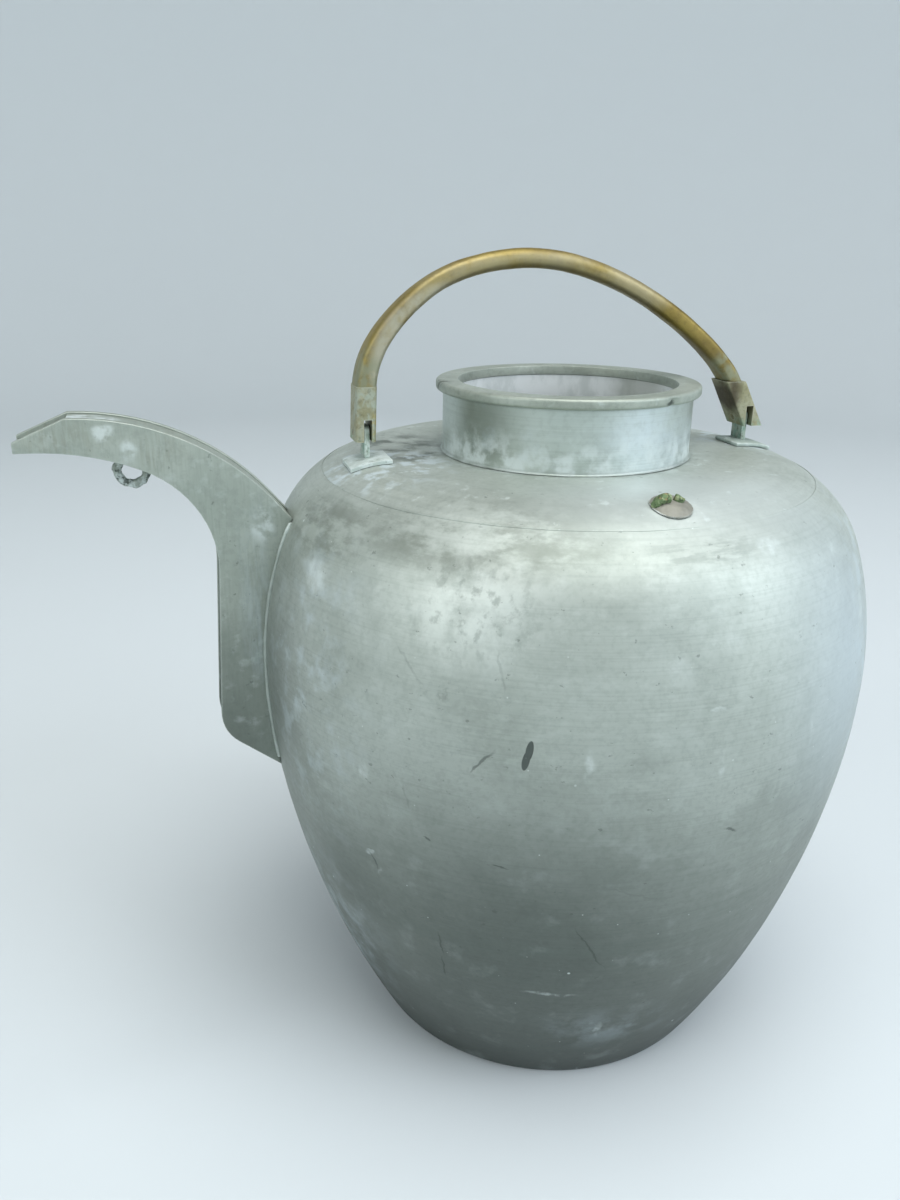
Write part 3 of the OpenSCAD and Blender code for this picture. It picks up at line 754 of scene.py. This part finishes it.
# Pewter pad run over with solder: whitish, with dull speckle
PAD_PEWTER = Metal("pad_pewter", "#bcc7c0", 0.5, 0.5, (
    bloom(3, 0.42, 0.6, 0.6, 9.0),
    Coat("#8d978f", 2.2, 0.54, 0.66, 0.5, rough=0.6, relief=-0.03, seed=4.0),
    stain("#7f7c70", 0.88, 0.62, Spot((1.3, -55.8, 157), (9, 9, 6), soft=0.3)),
    Coat("#e6eeea", 0.4, 0.12, 0.5, 0.7, Pattern.EDGE, rough=0.42),
    stain("#8a948d", 0.8, 0.6, Spot((-78, 0, 114), (16, 9, 52), soft=0.2)),
    Coat("#8d9b92", 4, 0.24, 0.6, 0.85, rough=0.62, metal=0.3, seed=5.3,
         spots=(Spot((54, 0, 158), (16, 16, 9), soft=0.2),)),
))

# Brass strap gone green: verdigris over a grey skin, white where solder ran up it
TAB_BRASS = Metal("tab_brass", "#a9b5a8", 0.5, 0.5, (
    Coat("#86a798", 2.2, 0.42, 0.6, 0.75, rough=0.72, metal=0.05, seed=2.0),
    Coat("#5b6553", 1.4, 0.54, 0.64, 0.6, rough=0.65, seed=5.0),
    Coat("#dbe6e0", (2.0, 2.0, 3.0), 0.4, 0.58, 0.8, rough=0.6, metal=0.1, seed=7.0,
         spots=(Spot((-52.5, -2.6, 163), (3, 2.4, 7)),)),
    Coat("#dbe6df", 0.4, 0.1, 0.45, 0.85, Pattern.EDGE, rough=0.42),
))

# Copper alloy wire broken off: green patina with dark hollows and paler crests, a little bare metal between
EYE_COPPER = Metal("eye_copper", "#a08a63", 0.45, 0.7, (
    Coat("#5d774f", 1.5, 0.32, 0.46, 0.95, rough=0.7, metal=0.1, seed=2.0),
    Coat("#3a482f", 0.8, 0.5, 0.6, 0.8, rough=0.75, metal=0.1, relief=-0.05, seed=7.0),
    Coat("#a5b088", 1.0, 0.54, 0.64, 0.7, rough=0.6, metal=0.2, seed=4.2),
))

# Forged brass bar under an old patina: brown-gold outside, a painted pale highlight along its front over
# greyed patina, painted shade under its right leg, dull towards its ends
BAIL_BRASS = Metal("bail_brass", "#8a7a3d", 0.46, 0.6, (
    Coat("#6e5e2a", 14, 0.42, 0.64, 0.7, rough=0.5, seed=2.0),
    Coat("#9a8748", 5, 0.5, 0.7, 0.4, rough=0.42, seed=4.5),
    Coat("#5b4c2a", 1.2, 0.5, 0.68, 0.35, rough=0.54, relief=-0.012, seed=6.5),
    # Darker brown on the crown; on the right leg this coat and the next stain are painted shade on its
    # underside
    Coat("#4f4023", 5, 0.48, 0.66, 0.5, rough=0.54, seed=3.6,
         spots=(Spot((-4, 0, 206), (16, 12, 6), soft=0.9), Spot((26, 1, 193), (20, 9, 14), soft=0.9))),
    stain("#4a3d2b", 0.5, 0.5, Spot((35, 0, 181), (14, 10, 10), soft=0.9)),
    # Painted highlight over greyed patina: a pale sheen along the front of the left leg and the top of the
    # right leg
    Coat("#b9baae", 9, 0.3, 0.6, 0.58, rough=0.4, metal=0.5, seed=8.1,
         spots=(Spot((-30, -4, 178), (23.6, 8, 23.6), soft=0.12, ragged=False),
                Spot((36, -3, 194.5), (17, 5, 1.8), (0, 38, 0), 0.6))),
    # Painted highlight over greyed patina: a pale sheen along the front of the crown
    Coat("#b0ab90", 12, 0.26, 0.6, 0.45, rough=0.42, seed=5.1,
         spots=(Spot((-8, -4, 197.5), (38, 8, 10.6), soft=0.2, ragged=False),)),
    Coat("#868c75", (3, 3, 4), 0.34, 0.6, 0.8, rough=0.52, metal=0.5, seed=8.5,
         spots=(Spot((-53, -1, 176), (9, 9, 13)), Spot((45, -2, 178), (9, 9, 8)))),
))

# Forged brass block: the bar's olive skin greyed over, painted shade in dark brown on the right block, dirt
# and painted shade inside the fork, verdigris at its foot
BLOCK_BRASS = Metal("block_brass", "#a3a289", 0.5, 0.6, (
    Coat("#87845f", 3.5, 0.4, 0.62, 0.65, rough=0.54, seed=2.0),
    Coat("#a5b0a4", (2.2, 2.2, 3.2), 0.42, 0.6, 0.7, rough=0.58, metal=0.4, seed=3.0,
         spots=(Spot((-53, -3, 171), (6, 6, 9)),)),
    Coat("#b29b3f", 2, 0.44, 0.58, 0.6, seed=9.1, spots=(Spot((-50.6, -3, 166.5), (2.6, 5, 5)),)),
    # Painted shade: the right block darkened to dark brown where its inner face lies in shadow
    stain("#3a2d1e", 0.88, 0.55, Spot((45.7, 0, 171), (3.3, 9, 14))),
    Coat("#6a6650", 1.1, 0.5, 0.66, 0.4, rough=0.6, relief=-0.02, seed=5.0),
    Coat("#7fa08f", 1.8, 0.44, 0.6, 0.6, rough=0.7, metal=0.1, seed=7.9, spots=(level(163.4, 3),)),
    # Dirt and painted shade inside the fork and round the pins
    Coat("#3d3526", 2.0, 0.3, 0.7, 0.75, Pattern.GRIME_AND_SHADE, rough=0.62),
    Coat("#bfc0ac", 0.4, 0.14, 0.55, 0.55, Pattern.EDGE, rough=0.42),
))

# Drawn brass wire, dulled by tarnish
PIN_BRASS = Metal("pin_brass", "#857c58", 0.45, 0.8, (
    Coat("#5a5238", 0.8, 0.45, 0.62, 0.75, rough=0.55, seed=2.0),
    Coat("#76998a", 1.2, 0.56, 0.66, 0.6, rough=0.7, metal=0.1, seed=4.0),
))


def dress(piece: bpy.types.Object, metal: Metal) -> None:
    """Give every face of a piece one metal.

    Args:
        piece: The piece or CAD node.
        metal: Its metal, made the first time it is asked for.
    """
    material = bpy.data.materials.get(metal.name + "_finish")
    if material is None:
        material = Finisher(metal).make()
        material.name = metal.name + "_finish"
    piece.data.materials.clear()
    piece.data.materials.append(material)


def seat(piece: bpy.types.Object, body: str, metal: Metal, *nodes: str) -> bpy.types.Object:
    """Dress a new piece, put it on its body and let it stand for CAD nodes.

    Args:
        piece: The piece.
        body: The body that carries it.
        metal: Its metal, which names its slot.
        *nodes: The CAD nodes that it replaces.

    Returns:
        The piece.
    """
    dress(piece, metal)
    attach(piece, body)
    if nodes:
        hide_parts(*nodes)
    LOG.info("%s rides on %s", piece.name, body)
    return piece


@dataclass
class Vessel:
    """The raised body and its shoulder plate, in millimetres."""

    belly_r: float = 80.0
    belly_z: float = 108.2
    base_r: float = 50.1
    shoulder_z: float = 158.7
    lower_r: float = 161.0
    lower_turn: float = 8.4
    upper_r: float = 94.8
    upper_turn: float = 19.9
    wall: float = 1.8
    seam_r: float = 62.5
    bore_r: float = 30.0
    foot_round: float = 0.4
    seam_round: float = 0.06
    seam_lap: float = 0.4
    seam_margin: float = 0.5
    flat_rings: tuple[float, ...] = (46.0, 42.0, 38.0, 34.0)
    ceiling_rings: tuple[float, ...] = (38.0, 44.0)
    wave_length: float = 34.0
    wave_depth: float = 0.3
    dent_at: Point = (-61.6, -45.2, 73.9)
    dent_push: Point = (0.8, 0.6, 0.0)
    dent_reach: float = 4.5
    window_width: float = 5.8
    window_low: float = 95.0
    window_high: float = 132.8
    window_deep: float = 30.0
    window_round: float = 0.49
    smooth_under: float = 40.0
    step: float = 2.2
    segments: int = 192

    def arcs(self) -> list[tuple[Ring, float, float, float]]:
        """Work out the four arcs of the side, each tangent to the next.

        Returns:
            Centre, radius, and first and last angle in degrees, from the foot up.
        """
        down, up = math.radians(self.lower_turn), math.radians(self.upper_turn)
        lower_c = (self.belly_r - self.lower_r, self.belly_z)
        lower_n = Vector((math.cos(down), -math.sin(down)))
        lower_end = Vector(lower_c) + self.lower_r * lower_n
        to_foot = Vector((self.base_r, 0)) - lower_end
        flank_r = -to_foot.dot(to_foot) / (2 * to_foot.dot(lower_n))
        flank_c = lower_end - flank_r * lower_n
        upper_c = (self.belly_r - self.upper_r, self.belly_z)
        upper_n = Vector((math.cos(up), math.sin(up)))
        upper_end = Vector(upper_c) + self.upper_r * upper_n
        shoulder_r = (self.shoulder_z - upper_end[1]) / (1 - upper_n[1])
        shoulder_c = upper_end - shoulder_r * upper_n
        foot = math.degrees(math.asin(-flank_c[1] / flank_r))
        return [(tuple(flank_c), flank_r, foot, -self.lower_turn),
                (lower_c, self.lower_r, -self.lower_turn, 0.0),
                (upper_c, self.upper_r, 0.0, self.upper_turn),
                (tuple(shoulder_c), shoulder_r, self.upper_turn, 90.0)]

    def outline(self, grow: float) -> list[Ring]:
        """Follow the side from the foot to the flat of the shoulder.

        Args:
            grow: How far outside the outer face to run, in millimetres.

        Returns:
            Radius and height of the points.
        """
        points: list[Ring] = []
        for index, (centre, radius, start, stop) in enumerate(self.arcs()):
            if index == 0:
                start = math.degrees(math.asin(-centre[1] / (radius + grow)))
            count = math.ceil(math.radians(stop - start) * radius / self.step)
            for k in range(0 if index == 0 else 1, count + 1):
                angle = math.radians(start + (stop - start) * k / count)
                reach = radius + grow
                points.append((centre[0] + reach * math.cos(angle), centre[1] + reach * math.sin(angle)))
        return points

    def radius(self, height: float) -> float:
        """Read the outer face's radius.

        Args:
            height: Height above the base, in millimetres.

        Returns:
            The radius, in millimetres.
        """
        points = self.outline(0)
        for (r0, z0), (r1, z1) in zip(points, points[1:]):
            if z0 <= height <= z1 and z1 > z0:
                return r0 + (r1 - r0) * (height - z0) / (z1 - z0)
        return self.base_r

    def crossing(self, grow: float) -> Ring:
        """Find the seam's radius and height on an outline that runs so far outside the outer face."""
        centre, radius, _, _ = self.arcs()[3]
        return self.seam_r, centre[1] + math.sqrt((radius + grow) ** 2 - (self.seam_r - centre[0]) ** 2)

    def side(self, grow: float, inner: bool) -> list[Ring]:
        """Take the part of an outline on one side of the seam.

        Args:
            grow: How far outside the outer face to run, in millimetres.
            inner: True for the shoulder plate, False for the wall.

        Returns:
            Radius and height of the points, ending or starting at the seam.
        """
        centre = self.arcs()[3][0]
        points = self.outline(grow)
        near, far = self.seam_r - self.seam_margin, self.seam_r + self.seam_margin
        if inner:
            return [self.crossing(grow)] + [p for p in points if p[1] > self.belly_z and p[0] < near]
        return [p for p in points if p[1] < centre[1] or p[0] > far] + [self.crossing(grow)]

    def build(self) -> None:
        """Turn the wall and the shoulder plate, dent them and dress them."""
        outer, lining = self.side(0, False), self.side(-self.wall, False)
        foot = [(self.base_r - self.foot_round, 0.0), (self.base_r, self.foot_round)]
        seam_r, seam_z = outer[-1]
        lip = [(seam_r + self.seam_round, seam_z - self.seam_round / 2), (seam_r, seam_z - self.seam_round)]
        wall = Bench.lathe("body_wall_turned", foot + outer[1:-1] + lip + lining[::-1], self.segments)
        self.cut_window(wall)
        Bench.roughen(wall, self.wave_length, self.wave_depth, top=1.0)
        Bench.press(wall, self.dent_at, self.dent_push, self.dent_reach)
        Bench.polish(wall, self.smooth_under)
        seat(wall, "vessel", TURNED_PEWTER, "body_wall")
        top, under = self.side(0, True), self.side(-self.wall, True)
        seam_r, seam_z = top[0]
        lip = [(seam_r + self.seam_lap, seam_z - self.seam_lap),
               (seam_r - self.seam_round, seam_z + self.seam_round / 4)]
        flat = [(r, self.shoulder_z) for r in (*self.flat_rings, self.bore_r)]
        ceiling = [(r, self.shoulder_z - self.wall) for r in (self.bore_r, *self.ceiling_rings)]
        rings = lip + top[1:] + flat + ceiling + under[::-1]
        plate = Bench.lathe("shoulder_plate_raised", rings, self.segments)
        Bench.roughen(plate, self.wave_length, self.wave_depth, top=1.0)
        Bench.polish(plate, self.smooth_under)
        seat(plate, "vessel", SHOULDER_PEWTER, "shoulder_plate")

    def cut_window(self, wall: bpy.types.Object) -> None:
        """Cut the pouring window behind the spout.

        Args:
            wall: The body's wall.
        """
        width, low, high = self.window_width, self.window_low, self.window_high
        size = (self.window_deep * MM, width * MM, (high - low) * MM)
        Bench.clear()
        bpy.ops.mesh.primitive_cube_add(size=1, location=(0, 0, 0))
        cutter = bpy.context.object
        with Bench.editing("SELECT"):
            bpy.ops.transform.resize(value=size, center_override=(0, 0, 0))
            bpy.ops.transform.translate(value=(-self.belly_r * MM, 0, (low + high) / 2 * MM))
        Bench.modify(cutter, "BEVEL", width=width * self.window_round * MM, segments=8, limit_method="ANGLE",
                     angle_limit=Bench.SHARP)
        Bench.modify(wall, "BOOLEAN", object=cutter, operation="DIFFERENCE", solver="EXACT")
        bpy.data.objects.remove(cutter)


@dataclass
class Neck:
    """The neck tube and its rim ring, in millimetres."""

    radius: float = 31.6
    wall: float = 1.6
    foot_z: float = 158.7
    rim_low: float = 173.9
    rim_top: float = 176.4
    rim_r: float = 33.4
    mouth_r: float = 27.7
    rim_round: float = 0.8
    fillet: float = 0.5
    lip_round: float = 0.35
    lip_middle: float = 0.1
    under_round: float = 0.2
    side_rings: tuple[float, ...] = (3.0, 6.0, 9.0)
    flat_rings: tuple[float, ...] = (31.2, 29.8)
    # How far the lining lies outside the mouth, at depths under the rim
    lining: tuple[Ring, ...] = ((0.25, 0.0), (0.45, 4.0), (0.8, 8.0), (1.4, 12.0))
    # Place, push and reach of each nick in the rim
    nicks: tuple[tuple[Point, Point, float], ...] = (
        ((13.4, -30.6, 174.7), (-0.35, 0.75, 0.15), 2.0),
        ((15.6, -29.5, 174.3), (-0.2, 0.4, 0.2), 1.6),
        ((-32.8, 3.0, 176.2), (0.35, 0.0, -0.3), 2.4),
    )
    smooth_under: float = 40.0
    segments: int = 160

    def build(self) -> None:
        """Turn the tube with its soldered foot and the rim with its round edge."""
        arc = [math.radians(a) for a in (0, 22, 45, 68, 90)]
        foot = [(self.radius + self.fillet * (1 - math.sin(a)), self.foot_z + self.fillet * (1 - math.cos(a)))
                for a in arc]
        outer = [(self.radius, self.foot_z + h) for h in self.side_rings] + [(self.radius, self.rim_low)]
        inner = [(self.mouth_r + out, self.rim_low - deep) for out, deep in self.lining]
        inner.append((self.radius - self.wall, self.foot_z))
        tube = Bench.lathe("neck_collar_turned", foot + outer + inner, self.segments)
        Bench.polish(tube, self.smooth_under)
        seat(tube, "vessel", NECK_PEWTER, "neck_collar")
        curve = [math.radians(a) for a in range(0, 91, 15)]
        soft, mouth, under, over = self.rim_round, self.mouth_r, self.rim_low, self.rim_top
        centre = self.rim_r - soft
        low = [(centre + soft * math.sin(a), under + soft - soft * math.cos(a)) for a in curve]
        high = [(centre + soft * math.cos(a), over - soft + soft * math.sin(a)) for a in curve]
        top = [(r, over) for r in self.flat_rings]
        lip = [(mouth + self.lip_round, over), (mouth + self.lip_middle, over - self.lip_middle),
               (mouth, over - self.lip_round), (mouth, under + self.under_round),
               (mouth + self.under_round, under)]
        rim = Bench.lathe("neck_rim_turned", [(self.radius, under)] + low + high + top + lip, self.segments)
        for place, push, reach in self.nicks:
            Bench.press(rim, place, push, reach)
        Bench.polish(rim, self.smooth_under)
        seat(rim, "vessel", RIM_PEWTER, "neck_rim")


@dataclass
class Spout:
    """The plate-built spout, its solder and the ring under its beak, in millimetres."""

    PLATES = ("spout_side_near", "spout_side_far", "spout_top_strip", "spout_underside_strip")

    nodes: Nodes
    vessel: Vessel
    plate_face: float = 5.45
    solder_r: float = 0.55
    solder_low: float = 82.2
    solder_high: float = 145.0
    solder_steps: int = 56
    solder_sides: int = 12
    # Share of the bead's width and turn per step, in radians, of each wave along it
    solder_waves: tuple[Ring, ...] = ((0.12, 0.5), (0.06, 1.3))
    edge_round: float = 0.22
    ring_voxel: float = 0.2
    ring_grain: float = 1.6
    ring_depth: float = 0.9

    def build(self) -> None:
        """Soften the plates, lay the solder and lump the ring."""
        for node in self.PLATES:
            plate = Bench.copy(node + "_filed", self.nodes[node])
            Bench.soften(plate, self.edge_round)
            Bench.polish(plate, angle=25)
            seat(plate, "vessel", SPOUT_PEWTER, node)
        self.lay_solder("spout_solder_near", -self.plate_face)
        self.lay_solder("spout_solder_far", self.plate_face)
        ring = Bench.copy("spout_loop_cast", self.nodes["spout_loop"])
        Bench.modify(ring, "REMESH", mode="VOXEL", voxel_size=self.ring_voxel * MM)
        Bench.roughen(ring, self.ring_grain, self.ring_depth)
        Bench.polish(ring, angle=60)
        seat(ring, "vessel", LOOP_PEWTER, "spout_loop")

    def lay_solder(self, name: str, face: float) -> None:
        """Run a bead of solder up the corner between the body and one side plate.

        Args:
            name: The bead's name.
            face: Where the plate's outer face lies along Y, in millimetres.
        """
        steps, rise = self.solder_steps, self.solder_high - self.solder_low
        heights = [self.solder_low + rise * k / steps for k in range(steps + 1)]
        line = [Vector((-math.sqrt(self.vessel.radius(z) ** 2 - face ** 2), face, z)) for z in heights]
        widths = [1 + sum(share * math.sin(turn * k) for share, turn in self.solder_waves)
                  for k in range(steps + 1)]
        Bench.clear()
        bpy.ops.mesh.primitive_circle_add(vertices=self.solder_sides, radius=self.solder_r * MM,
                                          fill_type="NGON", location=(0, 0, 0))
        bead = bpy.context.object
        bead.name = name
        with Bench.editing("SELECT"):
            bpy.ops.transform.translate(value=tuple(line[0] * MM))
            for k in range(1, steps + 1):
                move = (line[k] - line[k - 1]) * MM
                bpy.ops.mesh.extrude_region_move(TRANSFORM_OT_translate={"value": tuple(move)})
                wider = widths[k] / widths[k - 1]
                bpy.ops.transform.resize(value=(wider, wider, 1), center_override=tuple(line[k] * MM))
            bpy.ops.mesh.select_all(action="SELECT")
            bpy.ops.mesh.normals_make_consistent(inside=False)
        Bench.polish(bead, angle=60)
        seat(bead, "vessel", PAD_PEWTER)


@dataclass
class Fittings:
    """Pads, tabs and the broken eye on the shoulder, in millimetres."""

    nodes: Nodes
    pad_round: float = 0.25
    tab_round: float = 0.2
    voxel: float = 0.15
    boss_grain: float = 2.5
    boss_depth: float = 0.35
    stub_grain: float = 1.2
    stub_depth: float = 0.5

    def build(self) -> None:
        """Soften the lugs and weather the eye."""
        for kind, metal, width in (("pad", PAD_PEWTER, self.pad_round), ("tab", TAB_BRASS, self.tab_round)):
            for node in (f"lug_{kind}_left", f"lug_{kind}_right"):
                piece = Bench.copy(node + "_soldered", self.nodes[node])
                Bench.soften(piece, width)
                Bench.polish(piece, angle=30)
                seat(piece, "vessel", metal, node)
        self.wear("eye_boss", PAD_PEWTER, self.boss_grain, self.boss_depth)
        self.wear("eye_stubs", EYE_COPPER, self.stub_grain, self.stub_depth)

    def wear(self, node: str, metal: Metal, grain: float, depth: float) -> None:
        """Replace one node with a copy that corrosion has eaten.

        Args:
            node: The CAD node's name.
            metal: Its metal.
            grain: Size of the lumps, in millimetres.
            depth: Height from hollow to lump, in millimetres.
        """
        piece = Bench.copy(node + "_worn", self.nodes[node])
        Bench.modify(piece, "REMESH", mode="VOXEL", voxel_size=self.voxel * MM)
        Bench.roughen(piece, grain, depth)
        Bench.polish(piece, angle=60)
        seat(piece, "vessel", metal, node)


@dataclass
class Bail:
    """The hinged bail: bar, end blocks and pins, in millimetres and degrees."""

    nodes: Nodes
    crease_over: float = 40.0
    left_end: Point = (-52.9, 0.0, 176.4)
    left_swell: Point = (1.24, 1.14, 1.0)
    swell_core: float = 5.5
    swell_reach: float = 30.0
    wave_length: float = 9.0
    wave_depth: float = 0.25
    long_edge: float = 9.0
    left_round: float = 1.1
    right_round: float = 0.4

    def build(self) -> None:
        """Smooth the bar, round the blocks and dress the pins."""
        bar = Bench.copy("bail_bar_forged", self.nodes["bail_bar"])
        with Bench.editing():
            bpy.ops.mesh.select_mode(type="EDGE")
            bpy.ops.mesh.select_all(action="DESELECT")
            bpy.ops.mesh.edges_select_sharp(sharpness=math.radians(self.crease_over))
            bpy.ops.transform.edge_crease(value=1.0)
        Bench.modify(bar, "SUBSURF", levels=1, render_levels=1)
        Bench.swell(bar, self.left_end, self.left_swell, self.swell_core, self.swell_reach)
        Bench.roughen(bar, self.wave_length, self.wave_depth)
        Bench.polish(bar, angle=50)
        seat(bar, "bail", BAIL_BRASS, "bail_bar")
        for node, width in (("bail_block_left", self.left_round), ("bail_block_right", self.right_round)):
            block = Bench.copy(node + "_forged", self.nodes[node])
            Bench.round_corners(block, width, self.long_edge)
            Bench.polish(block, angle=30)
            seat(block, "bail", BLOCK_BRASS, node)
        for node in ("hinge_pin_left", "hinge_pin_right"):
            dress(self.nodes[node], PIN_BRASS)


@dataclass(frozen=True)
class Lamp:
    """A soft square lamp, in metres and watts."""

    name: str
    at: Point
    size: float
    power: float
    colour: str = "#ffffff"


@dataclass
class Studio:
    """Floor, light and camera, in millimetres and degrees."""

    floor_colour: str = "#c9d0d2"
    floor_rough: float = 0.9
    floor_hub: float = 1.0
    floor_thick: float = 1.0
    floor_segments: int = 96
    floor_r: float = 1500.0
    sweep_r: float = 500.0
    wall_top: float = 1500.0
    world_colour: str = "#dfe3e6"
    world_strength: float = 0.45
    eye: Point = (-99.214, -234.230, 210.214)
    azimuth: float = -16.4
    pitch: float = 20.412
    roll: float = 0.789
    focal_px: float = 979.77
    photo_h: float = 1200.0
    sensor: float = 36.0
    nearest: float = 10.0
    lamp_aim: Point = (0.0, 0.0, 100.0)
    lamps: tuple[Lamp, ...] = (
        Lamp("left_soft", (-1.1, -0.4, 0.72), 0.7, 4.2),
        Lamp("right_soft", (0.85, -0.8, 0.74), 0.8, 9.0, "#eef4ff"),
        Lamp("top_soft", (0.08, -0.32, 1.34), 1.0, 15.0),
    )

    def build(self) -> None:
        """Set up the studio."""
        self.lay_floor()
        self.light()
        self.aim()

    def lay_floor(self) -> None:
        """Lay a round pale floor that sweeps up into a wall on every side."""
        sweep = [math.radians(a) for a in range(0, 91, 10)]
        level_r = self.floor_r - self.sweep_r
        rings = [(self.floor_hub, 0.0), (level_r, 0.0)]
        rings += [(level_r + self.sweep_r * math.sin(a), self.sweep_r * (1 - math.cos(a))) for a in sweep[1:]]
        back, under = self.floor_r + self.floor_thick, -self.floor_thick
        rings += [(self.floor_r, self.wall_top), (back, self.wall_top)]
        rings += [(back, under), (self.floor_hub, under)]
        floor = Bench.lathe("studio_floor", rings, self.floor_segments)
        Bench.polish(floor, angle=30)
        material = bpy.data.materials.new("studio_paper")
        material.use_nodes = True
        shader = material.node_tree.nodes["Principled BSDF"]
        shader.inputs["Base Color"].default_value = linear(self.floor_colour)
        shader.inputs["Roughness"].default_value = self.floor_rough
        floor.data.materials.append(material)

    def light(self) -> None:
        """Hang the lamps and set the sky's even light."""
        target = Vector(self.lamp_aim) * MM
        for lamp in self.lamps:
            Bench.clear()
            bpy.ops.object.light_add(type="AREA", location=lamp.at)
            light = bpy.context.object
            light.name = lamp.name
            light.rotation_euler = (target - Vector(lamp.at)).to_track_quat("-Z", "Y").to_euler()
            light.data.size = lamp.size
            light.data.energy = lamp.power
            light.data.color = linear(lamp.colour)[:3]
        scene = bpy.context.scene
        scene.world = bpy.data.worlds.new("studio_sky")
        scene.world.use_nodes = True
        sky = scene.world.node_tree.nodes["Background"]
        sky.inputs["Color"].default_value = linear(self.world_colour)
        sky.inputs["Strength"].default_value = self.world_strength
        scene.view_settings.view_transform = "Standard"

    def aim(self) -> None:
        """Set the camera where the photograph was taken from."""
        Bench.clear()
        bpy.ops.object.camera_add()
        camera = bpy.context.object
        turn = (Matrix.Rotation(math.radians(self.azimuth), 4, "Z")
                @ Matrix.Rotation(math.radians(90 - self.pitch), 4, "X")
                @ Matrix.Rotation(math.radians(self.roll), 4, "Z"))
        camera.matrix_world = Matrix.Translation(Vector(self.eye) * MM) @ turn
        camera.data.sensor_width = self.sensor
        camera.data.lens = self.focal_px * self.sensor / self.photo_h
        camera.data.clip_start = self.nearest * MM
        bpy.context.scene.camera = camera


def main() -> None:
    """Build every piece in order."""
    logging.basicConfig(level=logging.INFO, format="%(message)s")
    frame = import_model()
    nodes = frame["nodes"]
    vessel = Vessel()
    vessel.build()
    dress(nodes["base_disc"], TURNED_PEWTER)
    Neck().build()
    Spout(nodes, vessel).build()
    Fittings(nodes).build()
    Bail(nodes).build()
    Studio().build()


if __name__ == "__main__":
    main()
